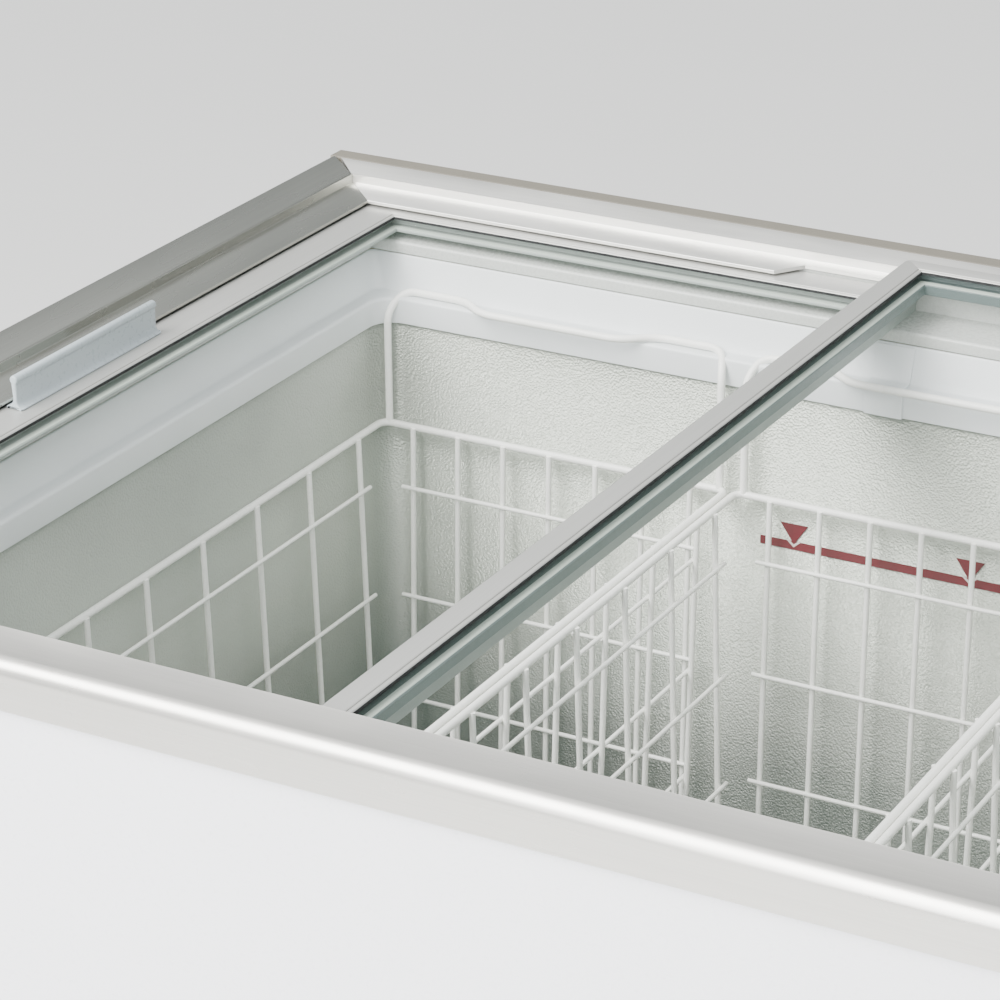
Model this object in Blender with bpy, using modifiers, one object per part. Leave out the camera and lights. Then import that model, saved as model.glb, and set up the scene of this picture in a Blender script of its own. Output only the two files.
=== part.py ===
"""Small retail chest freezer: two glass lids slide on two levels of track, wire baskets hang inside.

Metres, +Z up. The origin is on the floor under the middle of the cabinet, +X runs to the right along
the front and +Y points to the rear. Heights inside the rim are given down from the rim's flat top, and
places across the rim are given inwards from its outer face.
"""
import math

import bmesh
import bpy
from mathutils import Matrix, Vector

MM = 0.001

# Driving dimensions
LENGTH = 0.776              # outer length of the rim
DEPTH = 0.674               # outer depth, with the strip behind the rear rim
RIM_TOP = 0.865             # height above the floor of the flat top of the side and rear rims
FRONT_RISE = 0.0075         # the front rim stands this much higher
SKIRT = 0.0157              # the rims' outer faces reach this far below RIM_TOP
REAR_STRIP = 0.009          # how far the strip on the rear rim stands out behind REAR_Y
BODY_BOTTOM = 0.020         # height of the cabinet's underside
WALL = 0.0785               # outer face of the rim to the inner face of the liner
FLOOR = 0.098               # height of the liner's floor
STEP_X = 0.105              # the liner's floor is raised from here to the right
STEP_FLOOR = 0.335          # height of that raised floor
GAP = 0.0003                # clearance between pieces that rest on each other

# Derived places
HALF_X = LENGTH / 2
FRONT_Y = -DEPTH / 2
REAR_Y = DEPTH / 2 - REAR_STRIP
CENTRE_Y = (FRONT_Y + REAR_Y) / 2

# Cabinet
SHEET = 0.0008              # thickness of the painted sheets
SHEET_INSET = 0.0028        # the sheets stand back this far from the rim's outer face
SHEET_TOP = RIM_TOP - 0.012
COIL_SPACE = 0.0085         # from the liner's face to the foam, where the cooling tube lies
COIL_INSET = WALL - 0.0048
COIL_RADIUS = 0.003
LINER_SHEET = 0.001
LINER_TOP = RIM_TOP - 0.053
CORNER = 0.016              # radius of the liner's upright corners
DRAIN = (-0.240, -0.150)    # where the drain leaves the liner's floor
FOAM_TOP = RIM_TOP - 0.0255

# Machine compartment, in the lower right corner
ROOM_X = STEP_X + 0.069
ROOM_TOP = STEP_FLOOR - 0.067
REAR_OPENING = ((ROOM_X + 0.008, 0.045), (HALF_X - 0.014, ROOM_TOP - 0.014))
FRONT_OPENING = ((ROOM_X + 0.008, 0.045), (HALF_X - 0.020, ROOM_TOP - 0.012))
MACHINE_X = (ROOM_X + HALF_X) / 2 - 0.002
COMPRESSOR_Y = 0.190
FAN_Y = 0.035
FAN_Z = 0.140

# Collar and baskets
LEDGE_Z = RIM_TOP - 0.0495
JOINT_X = 0.003             # where the collar's halves meet
RIM_WIRE_Z = RIM_TOP - 0.125
BASKET_INSET = 0.0855       # rim wire from the rim's outer face, front and rear
BASKET_DEPTH = 0.212
BASKETS = (("basket_1", -0.3057, -0.0857), ("basket_2", -0.080, 0.142), ("basket_3", 0.147, 0.303))
WIRE = 0.00215              # radius of the baskets' rim and hanger wires

# Lids: a bar's width, its lower and upper height, and the pane's thickness
LEFT_LID = {"x": (-0.339, 0.003), "inset": (0.033, 0.033), "bar": 0.0282, "z": (-0.0217, -0.010)}
RIGHT_LID = {"x": (-0.0105, 0.358), "inset": (0.017, 0.0282), "bar": 0.0185, "z": (-0.0063, 0.0052)}
SUPPORT_LIP = 0.0035        # the lower lip reaches this far past the upper one
PANE = 0.004
HANDLE_LENGTH = 0.124
HANDLE_Y = -0.0107
LEFT_HANDLE_X = -0.329
RIGHT_HANDLE_X = 0.3505

# Colour, roughness and metallic value of each material
FINISHES = {
    "white_paint": ((0.84, 0.85, 0.86), 0.35, 0.0),
    "satin_aluminium": ((0.78, 0.77, 0.74), 0.33, 1.0),
    "liner_aluminium": ((0.66, 0.69, 0.65), 0.30, 1.0),
    "grey_plastic": ((0.42, 0.41, 0.38), 0.50, 0.0),
    "track_plastic": ((0.66, 0.67, 0.64), 0.40, 0.0),
    "white_plastic": ((0.82, 0.84, 0.84), 0.40, 0.0),
    "lid_frame": ((0.62, 0.63, 0.63), 0.38, 0.0),
    "handle_plastic": ((0.60, 0.64, 0.66), 0.35, 0.0),
    "glass": ((0.75, 0.85, 0.80), 0.05, 0.0),
    "coated_wire": ((0.82, 0.81, 0.77), 0.40, 0.0),
    "red_tape": ((0.35, 0.03, 0.06), 0.45, 0.0),
    "foam": ((0.80, 0.72, 0.45), 0.90, 0.0),
    "copper": ((0.72, 0.38, 0.22), 0.35, 1.0),
    "black_paint": ((0.02, 0.02, 0.02), 0.45, 0.0),
    "galvanised": ((0.58, 0.59, 0.60), 0.42, 1.0),
    "black_plastic": ((0.03, 0.03, 0.03), 0.50, 0.0),
    "rubber": ((0.03, 0.03, 0.03), 0.80, 0.0),
}


# ---------------------------------------------------------------- scene and small helpers

def clear_scene():
    for obj in list(bpy.data.objects):
        bpy.data.objects.remove(obj, do_unlink=True)


def new_collection(name):
    collection = bpy.data.collections.new(name)
    bpy.context.scene.collection.children.link(collection)
    return collection


def finish(name):
    """The named material, made on first use."""
    material = bpy.data.materials.get(name)
    if material:
        return material
    colour, roughness, metallic = FINISHES[name]
    material = bpy.data.materials.new(name)
    material.use_nodes = True
    shader = material.node_tree.nodes["Principled BSDF"]
    shader.inputs["Base Color"].default_value = (*colour, 1)
    shader.inputs["Roughness"].default_value = roughness
    shader.inputs["Metallic"].default_value = metallic
    return material


def add_object(name, data, look, origin=(0, 0, 0)):
    """Put mesh or curve data made in world coordinates into the scene, its origin moved to a point."""
    data.transform(Matrix.Translation(-Vector(origin)))
    obj = bpy.data.objects.new(name, data)
    obj.location = origin
    if look:
        data.materials.append(finish(look))
        PARTS.objects.link(obj)
    else:
        CUTTERS.objects.link(obj)
        obj.hide_render = True
        obj.display_type = "WIRE"
    return obj


def mesh_from(bm, name, smooth=False):
    bmesh.ops.remove_doubles(bm, verts=bm.verts, dist=1e-6)
    bmesh.ops.recalc_face_normals(bm, faces=bm.faces)
    mesh = bpy.data.meshes.new(name)
    bm.to_mesh(mesh)
    bm.free()
    if smooth:
        mesh.shade_smooth()
        mesh.set_sharp_from_angle(angle=math.radians(35))
    return mesh


def box(name, look, low, high, bevel=0.0, origin=(0, 0, 0)):
    """A block between two corners, its edges rounded by a modifier."""
    low, high = Vector(low), Vector(high)
    bm = bmesh.new()
    bmesh.ops.create_cube(bm, size=1)
    bmesh.ops.scale(bm, vec=high - low, verts=bm.verts)
    bmesh.ops.translate(bm, vec=(low + high) / 2, verts=bm.verts)
    obj = add_object(name, mesh_from(bm, name), look, origin)
    if bevel:
        rounded = obj.modifiers.new("rounded_edges", "BEVEL")
        rounded.width = bevel
        rounded.segments = 2
    return obj


def cylinder(name, look, centre, radius, length, axis="Z", steps=24, origin=(0, 0, 0)):
    turn = {"Z": Matrix(), "Y": Matrix.Rotation(math.radians(90), 4, "X"),
            "X": Matrix.Rotation(math.radians(90), 4, "Y")}[axis]
    bm = bmesh.new()
    bmesh.ops.create_cone(bm, cap_ends=True, segments=steps, radius1=radius, radius2=radius,
                          depth=length, matrix=Matrix.Translation(centre) @ turn)
    return add_object(name, mesh_from(bm, name, smooth=True), look, origin)


def prism(name, look, outline, axis, start, end, origin=(0, 0, 0)):
    """A flat outline pushed along an axis. The outline's pairs are the other two axes in X, Y, Z order."""
    place = {"X": lambda a, b, c: (c, a, b), "Y": lambda a, b, c: (a, c, b), "Z": lambda a, b, c: (a, b, c)}
    bm = bmesh.new()
    face = bm.faces.new([bm.verts.new(place[axis](a, b, start)) for a, b in outline])
    pushed = bmesh.ops.extrude_face_region(bm, geom=[face])["geom"]
    tops = [v for v in pushed if isinstance(v, bmesh.types.BMVert)]
    bmesh.ops.translate(bm, vec=place[axis](0, 0, end - start), verts=tops)
    return add_object(name, mesh_from(bm, name), look, origin)


def turned(name, look, profile, centre, steps=24):
    """A profile of (radius, height) pairs, top to bottom down its outer side, turned about Z."""
    curve = bpy.data.meshes.new(name)
    points = [(radius, 0, height) for radius, height in profile]
    curve.from_pydata(points, [(n, n + 1) for n in range(len(points) - 1)], [])
    curve.materials.append(finish(look))
    obj = bpy.data.objects.new(name, curve)
    obj.location = centre
    PARTS.objects.link(obj)
    screw = obj.modifiers.new("turn", "SCREW")
    screw.steps = steps
    screw.render_steps = steps
    screw.use_merge_vertices = True
    screw.merge_threshold = 1e-5
    screw.use_smooth_shade = True
    return obj


def tube(name, look, points, radius, resolution=2, cyclic=False):
    """A round tube or wire along a list of points."""
    curve = bpy.data.curves.new(name, "CURVE")
    curve.dimensions = "3D"
    curve.bevel_depth = radius
    curve.bevel_resolution = resolution
    curve.use_fill_caps = not cyclic
    spline = curve.splines.new("POLY")
    spline.points.add(len(points) - 1)
    spline.use_cyclic_u = cyclic
    for target, point in zip(spline.points, points):
        target.co = (*point, 1)
    return add_object(name, curve, look)


def cut(obj, *cutters, operation="DIFFERENCE"):
    for cutter in cutters:
        boolean = obj.modifiers.new(cutter.name, "BOOLEAN")
        boolean.operation = operation
        boolean.object = cutter


def arc(centre, radius, start, end, steps=4):
    """Points of an arc between two angles in degrees."""
    angles = [math.radians(start + (end - start) * n / steps) for n in range(steps + 1)]
    return [(centre[0] + radius * math.cos(a), centre[1] + radius * math.sin(a)) for a in angles]


def loft(name, look, sections, origin=(0, 0, 0)):
    """A closed body through sections of equal point counts, capped at the first and the last."""
    bm = bmesh.new()
    loops = [[bm.verts.new(point) for point in section] for section in sections]
    for here, there in zip(loops, loops[1:]):
        for n in range(len(here)):
            bm.faces.new((here[n - 1], here[n], there[n], there[n - 1]))
    bm.faces.new(loops[0])
    bm.faces.new(loops[-1])
    return add_object(name, mesh_from(bm, name, smooth=True), look, origin)


# ---------------------------------------------------------------- mitred bars round a rectangle

def mitred_bar(name, look, side, rectangle, profile, corner=0.0):
    """One side of a frame. Its profile is (distance in from the rectangle, height), and each end is
    cut at 45 degrees. Outside a corner radius the ends are rounded, in steps up to the mitre."""
    x0, x1, y0, y1 = rectangle
    start, along, inward, length = {
        "front": ((x0, y0), (1, 0), (0, 1), x1 - x0),
        "right": ((x1, y0), (0, 1), (-1, 0), y1 - y0),
        "rear": ((x1, y1), (-1, 0), (0, -1), x1 - x0),
        "left": ((x0, y1), (0, -1), (1, 0), y1 - y0)}[side]
    start, along, inward = Vector(start), Vector(along), Vector(inward)
    angles = [math.radians(a) for a in ((45, 22.5, 0) if corner else (45,))]

    def station(angle, from_end):
        points = []
        for inset, height in profile:
            back = inset
            if inset < corner:
                back = corner - (corner - inset) * math.sin(angle)
                inset = corner - (corner - inset) * math.cos(angle)
            elif corner:
                back += (1 - angle / math.radians(45)) * corner
            back += 0.7 * GAP
            place = start + inward * inset + along * (length - back if from_end else back)
            points.append((place.x, place.y, height))
        return points

    sections = [station(a, False) for a in angles] + [station(a, True) for a in reversed(angles)]
    return loft(name, look, sections)


def ring_box(inset):
    return (-HALF_X + inset, HALF_X - inset, FRONT_Y + inset, REAR_Y - inset)


def below_rim(profile):
    """A profile in millimetres, heights down from the rim's top, as metres."""
    return [(inset * MM, RIM_TOP + height * MM) for inset, height in profile]


LEDGE = [(52.1, -6.6), (52.7, -7.2), (52.7, -8.6)]      # edge of the ledge that carries the upper lid
RIM_WALL = 0.028            # the rim's upright inner wall from its outer face, at the sides and rear
RIM_REAR = 0.0042           # the rear rim would reach this far behind REAR_Y, but
REAR_CUT = 0.008            # its outer edge is cut back this far to make room for the strip
FRONT_LIP = 0.0295          # the front rim's top plate ends here, over the upper lid's front bar
FRONT_POST = 0.016          # and its channel starts here


def rim_profile(edge=0.0, radius=4.0):
    skirt, wall = -SKIRT / MM, RIM_WALL / MM
    outside = arc((edge + radius, -radius), radius, 180, 90)
    inside = arc((edge + 7.5, -7.5), 5, 90, 180)
    top = [(wall - 0.8, 0), (wall, -0.8), (wall, -6.6), *LEDGE, (wall - 2.5, -8.6)]
    return below_rim([(edge, skirt), *outside, *top, (wall - 2.5, -2.5), *inside, (edge + 2.5, skirt)])


def make_front_rim():
    """One straight bar over the whole length, higher than the others. A channel in it takes the front
    edge of the upper lid, and its ledge is cut back at both ends to clear those of the side rims."""
    skirt, rise, lip = -SKIRT / MM, FRONT_RISE / MM, FRONT_LIP / MM
    outside = arc((7, rise - 7), 7, 180, 90)
    profile = below_rim([(0, skirt), *outside, (lip - 0.8, rise), (lip, rise - 0.8), (lip, -6.6), *LEDGE,
                         (2.5, -8.6), (2.5, skirt)])
    outline = [(FRONT_Y + inset, height) for inset, height in profile]
    bar = prism("rim_front", "satin_aluminium", outline, "X", -HALF_X, HALF_X)
    channel = HALF_X - RIM_WALL
    cut(bar, box("front_channel_cutter", None, (-channel, FRONT_Y + FRONT_POST, RIM_TOP - 0.0066),
                 (channel, FRONT_Y + FRONT_LIP + 0.001, RIM_TOP + FRONT_RISE - 0.0018)))
    for side in (-1, 1):
        near, far = sorted((side * (HALF_X - 0.0531), side * (HALF_X + 0.001)))
        cut(bar, box("front_ledge_cutter", None, (near, FRONT_Y + FRONT_LIP, RIM_TOP - 0.010),
                     (far, FRONT_Y + 0.060, RIM_TOP - 0.005)))
    return bar


def make_rim():
    rectangle = (-HALF_X, HALF_X, FRONT_Y - 0.060, REAR_Y + RIM_REAR)
    strip_y = REAR_Y + RIM_REAR - REAR_CUT
    for side in ("left", "right"):
        bar = mitred_bar(f"rim_{side}", "satin_aluminium", side, rectangle, rim_profile())
        for y0, y1 in ((FRONT_Y - 0.070, FRONT_Y + FRONT_LIP + GAP), (strip_y, REAR_Y + 0.020)):
            cut(bar, box("rim_end_cutter", None, (-LENGTH, y0, RIM_TOP - 0.050),
                         (LENGTH, y1, RIM_TOP + 0.010)))
    rear = mitred_bar("rim_rear", "satin_aluminium", "rear", rectangle, rim_profile(REAR_CUT / MM, 1.0))
    for bar, edge, depth in ((make_front_rim(), FRONT_Y + 0.0365, 0.020), (rear, REAR_Y - 0.0323, -0.020)):
        outline = [(-0.066, edge), (0.066, edge), (0.080, edge + depth), (-0.080, edge + depth)]
        cut(bar, prism("notch_cutter", None, outline, "Z", RIM_TOP - 0.0095, RIM_TOP - 0.004))
    box("rim_rear_strip", "grey_plastic", (-HALF_X, strip_y + GAP, RIM_TOP - SKIRT),
        (HALF_X, DEPTH / 2, RIM_TOP), bevel=0.0008)


def make_tracks():
    profile = below_rim([(29.2, -24.5), (29.2, -9.2), (31.2, -9.2), (31.2, -22), (62.4, -22),
                         *arc((62.4, -23.6), 1.6, 60, 0, 2), (64, -29), (62.2, -29), (62.2, -24.5)])
    for side in ("front", "rear", "left", "right"):
        mitred_bar(f"track_{side}", "track_plastic", side, ring_box(0), profile)


# ---------------------------------------------------------------- collar, liner and cabinet

def collar_section():
    """The collar's closed outline as (inset, height, corner radius)."""
    face = [(64.6, -29.4, 4), (69, -45, 7), (71, -49.5, 8), (78.6, -49.5, 13), (80, -51, 14.5),
            (80, -65, 14.5)]
    back = [(78.9, -65, 15.6), (78.9, -52.2, 15.6), (69.8, -51.3, 9), (67, -45.5, 8), (62.6, -29.4, 5)]
    return [(i * MM, RIM_TOP + z * MM, r * MM) for i, z, r in face + back]


def half_ring(inset, radius, side):
    """Points from the joint plane round the two corners of one half of the ring, and back to it."""
    y0, y1 = FRONT_Y + inset, REAR_Y - inset
    x = side * (HALF_X - inset - radius)
    joint = JOINT_X + side * GAP / 2
    front, rear = (180, 90) if side < 0 else (0, 90)
    turn = 90 if side < 0 else -90
    rear_arc = arc((x, y1 - radius), radius, rear, rear + turn, 5)
    front_arc = arc((x, y0 + radius), radius, front, front + turn, 5)
    return [(joint, y1), *rear_arc, *front_arc, (joint, y0)]


def make_collar():
    outline = collar_section()
    for name, side in (("collar_left", -1), ("collar_right", 1)):
        paths = [half_ring(inset, radius, side) for inset, height, radius in outline]
        sections = [[(*path[n], outline[k][1]) for k, path in enumerate(paths)]
                    for n in range(len(paths[0]))]
        loft(name, "white_plastic", sections)
    face = below_rim([(64.9, -30), (69.4, -45), (71.4, -49.2), (78.8, -49.2), (80.3, -50.7), (80.3, -65.3)])
    back = below_rim([(81.5, -65.3), (81.5, -50), (79.6, -48), (72.2, -48), (70.6, -44.7), (66, -30)])
    for name, edge, inward in (("collar_joint_front", FRONT_Y, 1), ("collar_joint_rear", REAR_Y, -1)):
        outline = [(edge + inward * inset, height) for inset, height in face + back]
        prism(name, "white_plastic", outline, "X", JOINT_X - 0.011, JOINT_X + 0.011)


def stepped_tub(name, look, grow, top, corner):
    """The space inside the liner, grown outwards: a block with a raised floor at its right end."""
    x0, x1, y0, y1 = ring_box(WALL - grow)
    low, step = FLOOR - grow, STEP_FLOOR - grow
    riser = STEP_X + grow
    outline = [(x0, top), (x0, low), (riser, low), (riser, step), (x1, step), (x1, top)]
    obj = prism(name, look, outline, "Y", y0, y1)
    bm = bmesh.new()
    bm.from_mesh(obj.data)
    upright = [e for e in bm.edges if abs(e.verts[0].co.z - e.verts[1].co.z) > 1e-4
               and abs(e.verts[0].co.x - riser) > 1e-4]
    bmesh.ops.bevel(bm, geom=upright, offset=corner, segments=5, profile=0.5, affect="EDGES")
    bmesh.ops.recalc_face_normals(bm, faces=bm.faces)
    bm.to_mesh(obj.data)
    bm.free()
    return obj


def make_liner():
    liner = stepped_tub("inner_liner", "liner_aluminium", 0.0, LINER_TOP, CORNER)
    bm = bmesh.new()
    bm.from_mesh(liner.data)
    lid = [f for f in bm.faces if f.normal.z > 0.9 and f.calc_center_median().z > LINER_TOP - 1e-4]
    bmesh.ops.delete(bm, geom=lid, context="FACES_ONLY")
    bm.to_mesh(liner.data)
    bm.free()
    shell = liner.modifiers.new("sheet", "SOLIDIFY")
    shell.thickness = LINER_SHEET
    shell.offset = 1
    shell.use_even_offset = True
    hole = cylinder("liner_drain_cutter", None, (*DRAIN, FLOOR), 0.0100, 0.02)
    cut(liner, hole)


def make_cabinet():
    inset = SHEET_INSET
    x, y0, y1 = HALF_X - inset, FRONT_Y + inset, DEPTH / 2 - inset
    outer = [(-x, y1 - 0.015), (-x, y0), (x, y0), (x, y1 - 0.015)]
    inner = [(x - SHEET, y1 - 0.015), (x - SHEET, y0 + SHEET), (-x + SHEET, y0 + SHEET),
             (-x + SHEET, y1 - 0.015)]
    wrap = prism("cabinet_wrap", "white_paint", outer + inner, "Z", BODY_BOTTOM, SHEET_TOP)
    (fx0, fz0), (fx1, fz1) = FRONT_OPENING
    cut(wrap, box("front_opening_cutter", None, (fx0, y0 - 0.01, fz0), (fx1, y0 + 0.01, fz1)))
    panel = [(-x, y1 - 0.015 + GAP), (-x, y1), (x, y1), (x, y1 - 0.015 + GAP), (x - SHEET, y1 - 0.015 + GAP),
             (x - SHEET, y1 - SHEET), (-x + SHEET, y1 - SHEET), (-x + SHEET, y1 - 0.015 + GAP)]
    rear = prism("rear_panel", "white_paint", panel, "Z", BODY_BOTTOM, RIM_TOP - SKIRT - 2 * GAP)
    (rx0, rz0), (rx1, rz1) = REAR_OPENING
    cut(rear, box("rear_opening_cutter", None, (rx0, y1 - 0.01, rz0), (rx1, y1 + 0.01, rz1)))
    edge = x - SHEET - GAP
    pan = box("bottom_panel", "galvanised", (-edge, y0 + SHEET + GAP, BODY_BOTTOM),
              (edge, y1 - SHEET - GAP, BODY_BOTTOM + SHEET))
    cut(pan, cylinder("pan_drain_cutter", None, (*DRAIN, BODY_BOTTOM), 0.0125, 0.01))
    make_foam(edge, y0 + SHEET + GAP, y1 - SHEET - GAP)


def make_foam(edge, y0, y1):
    base = BODY_BOTTOM + SHEET + GAP
    foam = box("insulation_foam", "foam", (-edge, y0, base), (edge, y1, FOAM_TOP))
    cavity = stepped_tub("foam_cavity_cutter", None, COIL_SPACE, FOAM_TOP + 0.02, 0.020)
    cavity.data.transform(Matrix.Translation((0, 0, COIL_SPACE - LINER_SHEET - GAP)))
    x0, x1, cy0, cy1 = ring_box(0.0595)
    mouth = box("foam_mouth_cutter", None, (x0, cy0, RIM_TOP - 0.0535), (x1, cy1, FOAM_TOP + 0.01))
    room = box("foam_room_cutter", None, (ROOM_X - SHEET - GAP, y0 - 0.01, base - 0.01),
               (edge + 0.01, y1 + 0.01, ROOM_TOP + SHEET + GAP))
    drain = cylinder("foam_drain_cutter", None, (*DRAIN, 0.06), 0.0125, 0.12)
    cut(foam, cavity, mouth, room, drain)
    bulkhead = [(ROOM_X - SHEET, base), (ROOM_X, base), (ROOM_X, ROOM_TOP), (edge, ROOM_TOP),
                (edge, ROOM_TOP + SHEET), (ROOM_X - SHEET, ROOM_TOP + SHEET)]
    prism("compartment_bulkhead", "galvanised", bulkhead, "Y", y0, y1)


def make_evaporator():
    """Tube wound round the outside of the liner, in the space left in the foam."""
    radius, turns = 0.018, 6
    low, high = STEP_FLOOR + 0.04, LINER_TOP - 0.06
    x0, x1, y0, y1 = ring_box(COIL_INSET)
    corners = [((x1 - radius, y1 - radius), 0), ((x0 + radius, y1 - radius), 90),
               ((x0 + radius, y0 + radius), 180), ((x1 - radius, y0 + radius), 270)]
    lap = [point for centre, start in corners for point in arc(centre, radius, start, start + 90, 4)]
    rise = (high - low) / (turns * len(lap))
    path = [(*lap[n % len(lap)], low + n * rise) for n in range(turns * len(lap))]
    tube("evaporator_coil", "copper", path, COIL_RADIUS, resolution=1)


def make_load_line():
    """The band on the rear wall that marks how high goods may be stacked, with arrowheads above it."""
    y = REAR_Y - WALL - GAP
    x0, x1, low, high = -0.0678, 0.292, RIM_TOP - 0.155, RIM_TOP - 0.150
    first, pitch, half, rise = -0.0475, 0.1036, 0.0083, 0.0104
    outline = [(x0, low), (x1, low), (x1, high)]
    for n in range(3, -1, -1):
        tip = first + n * pitch
        outline += [(tip + 0.001, high), (tip + half, high + rise), (tip - half, high + rise),
                    (tip - 0.001, high)]
    outline.append((x0, high))
    prism("load_line_tape", "red_tape", outline, "Y", y, y - 0.0002)


# ---------------------------------------------------------------- lids

def lid_bar_profile(width, low, high):
    lip = width - SUPPORT_LIP
    pane_top, pane_base = high - 0.0012, high - 0.0058
    return [(0, low), (0, high - 0.002), (0.0006, high - 0.0006), (0.002, high), (lip - 0.0012, high),
            (lip, high - 0.0008), (lip, pane_top), (lip - 0.005, pane_top), (lip - 0.005, pane_base),
            (width - 0.0005, pane_base), (width, pane_base - 0.0005), (width, low)]


def handle_profile():
    """Flared foot, thin upright web and a round bead along the top, in millimetres about the middle."""
    right = [(6, GAP / MM), (6, 1.6), *arc((6, 6.6), 4.6, 260, 180, 4)]
    bead = arc((0, 15.2), 2.8, -58, 238, 10)
    left = [(-x, z) for x, z in reversed(right)]
    return [(x * MM, z * MM) for x, z in right + bead + left]


def make_handle(name, x, base):
    low, high = HANDLE_Y - HANDLE_LENGTH / 2, HANDLE_Y + HANDLE_LENGTH / 2
    outline = [(x + dx, base + dz) for dx, dz in handle_profile()]
    return prism(name, "handle_plastic", outline, "Y", low, high)


def make_lid(name, lid, handle_x):
    (x0, x1), (low, high), width = lid["x"], lid["z"], lid["bar"]
    low, high = RIM_TOP + low, RIM_TOP + high
    y0, y1 = FRONT_Y + lid["inset"][0], REAR_Y - lid["inset"][1]
    profile = lid_bar_profile(width, low, high)
    pieces = [mitred_bar(f"{name}_{side}_bar", "lid_frame", side, (x0, x1, y0, y1), profile, corner=0.008)
              for side in ("front", "right", "rear", "left")]
    edge = width - SUPPORT_LIP - 0.005 + GAP
    top = high - 0.0012 - GAP
    pieces.append(box(f"{name}_glass", "glass", (x0 + edge, y0 + edge, top - PANE),
                      (x1 - edge, y1 - edge, top)))
    pieces.append(make_handle(f"{name}_handle", handle_x, high))
    slide = bpy.data.objects.new(f"{name}_slide", None)
    slide.location = ((x0 + x1) / 2, CENTRE_Y, low)
    PARTS.objects.link(slide)
    for piece in pieces:
        piece.data.transform(Matrix.Translation(-slide.location))
        piece.parent = slide


# ---------------------------------------------------------------- baskets

def rectangle_loop(rectangle, inset, radius, height):
    x0, x1, y0, y1 = rectangle
    x0, x1, y0, y1 = x0 + inset, x1 - inset, y0 + inset, y1 - inset
    centres = [((x1 - radius, y1 - radius), 0), ((x0 + radius, y1 - radius), 90),
               ((x0 + radius, y0 + radius), 180), ((x1 - radius, y0 + radius), 270)]
    flat = [p for centre, start in centres for p in arc(centre, radius, start, start + 90, 3)]
    return [(x, y, height) for x, y in flat]


def make_basket(name, x0, x1):
    """A tapered open basket whose walls stand for its wires, with a rim and two hangers."""
    y0, y1 = FRONT_Y + BASKET_INSET, REAR_Y - BASKET_INSET
    rectangle, top, bottom = (x0, x1, y0, y1), RIM_WIRE_Z + WIRE, RIM_WIRE_Z - BASKET_DEPTH
    shell = [(0.0095, 0.004, bottom + 0.003), (0.0019, 0.004, RIM_WIRE_Z - WIRE - 0.0002),
             (WIRE, 0.004, RIM_WIRE_Z - WIRE), (WIRE, 0.004, top), (-WIRE, 0.008, top),
             (-WIRE, 0.008, RIM_WIRE_Z - WIRE), (-0.0011, 0.007, RIM_WIRE_Z - WIRE - 0.0002),
             (0.0065, 0.007, bottom)]
    sections = [rectangle_loop(rectangle, inset, radius, height) for inset, radius, height in shell]
    basket = loft(name, "coated_wire", sections)
    basket.data.transform(Matrix.Translation((-(x0 + x1) / 2, -CENTRE_Y, -RIM_WIRE_Z)))
    basket.location = ((x0 + x1) / 2, CENTRE_Y, RIM_WIRE_Z)
    wire_top = LEDGE_Z + 2 * WIRE + 0.0004
    inner_x0, inner_x1 = x0 + 0.0030, x1 - 0.0030
    ear = min(0.045, (x1 - x0) / 4)
    for side, y, outward in (("front", y0, -1), ("rear", y1, 1)):
        thick, reach = outward * 0.0018, outward * (BASKET_INSET - 0.0715)
        ledge = LEDGE_Z + 0.0004
        outline = [(inner_x0, RIM_WIRE_Z), (inner_x1, RIM_WIRE_Z), (inner_x1, wire_top), (inner_x0, wire_top)]
        plate = prism(f"{name}_{side}_hanger_cutter", None, outline, "Y", y - thick, y + thick)
        cut(basket, plate, operation="UNION")
        for end, a, b in (("left", inner_x0, inner_x0 + ear), ("right", inner_x1 - ear, inner_x1)):
            low = (a, min(y - thick * 0.9, y + reach), ledge)
            high = (b, max(y - thick * 0.9, y + reach), wire_top - 0.0002)
            cut(basket, box(f"{name}_{side}_{end}_ear_cutter", None, low, high), operation="UNION")


# ---------------------------------------------------------------- machine compartment

def make_compressor():
    pan_top = BODY_BOTTOM + SHEET
    tray_top = pan_top + GAP + 0.002
    box("compressor_tray", "galvanised", (MACHINE_X - 0.085, COMPRESSOR_Y - 0.100, pan_top + GAP),
        (MACHINE_X + 0.085, COMPRESSOR_Y + 0.100, tray_top))
    mount_height = 0.012
    for end, dy in (("front", -0.080), ("rear", 0.080)):
        y = COMPRESSOR_Y + dy
        box(f"compressor_mount_{end}", "rubber", (MACHINE_X - 0.072, y - 0.009, tray_top + GAP),
            (MACHINE_X + 0.072, y + 0.009, tray_top + GAP + mount_height), bevel=0.003)
    base = tray_top + 2 * GAP + mount_height
    profile = [(0.0, 0.163), (0.030, 0.160), (0.055, 0.148), (0.070, 0.125), (0.073, 0.098), (0.077, 0.098),
               (0.077, 0.090), (0.073, 0.090), (0.073, 0.050), (0.064, 0.020), (0.045, 0.006), (0.0, 0.004)]
    can = turned("compressor", "black_paint", profile, (MACHINE_X, COMPRESSOR_Y, base), steps=28)
    feet = box("compressor_feet_cutter", None, (MACHINE_X - 0.072, COMPRESSOR_Y - 0.092, base),
               (MACHINE_X + 0.072, COMPRESSOR_Y + 0.092, base + 0.0085))
    cut(can, feet, operation="UNION")
    return base


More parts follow.
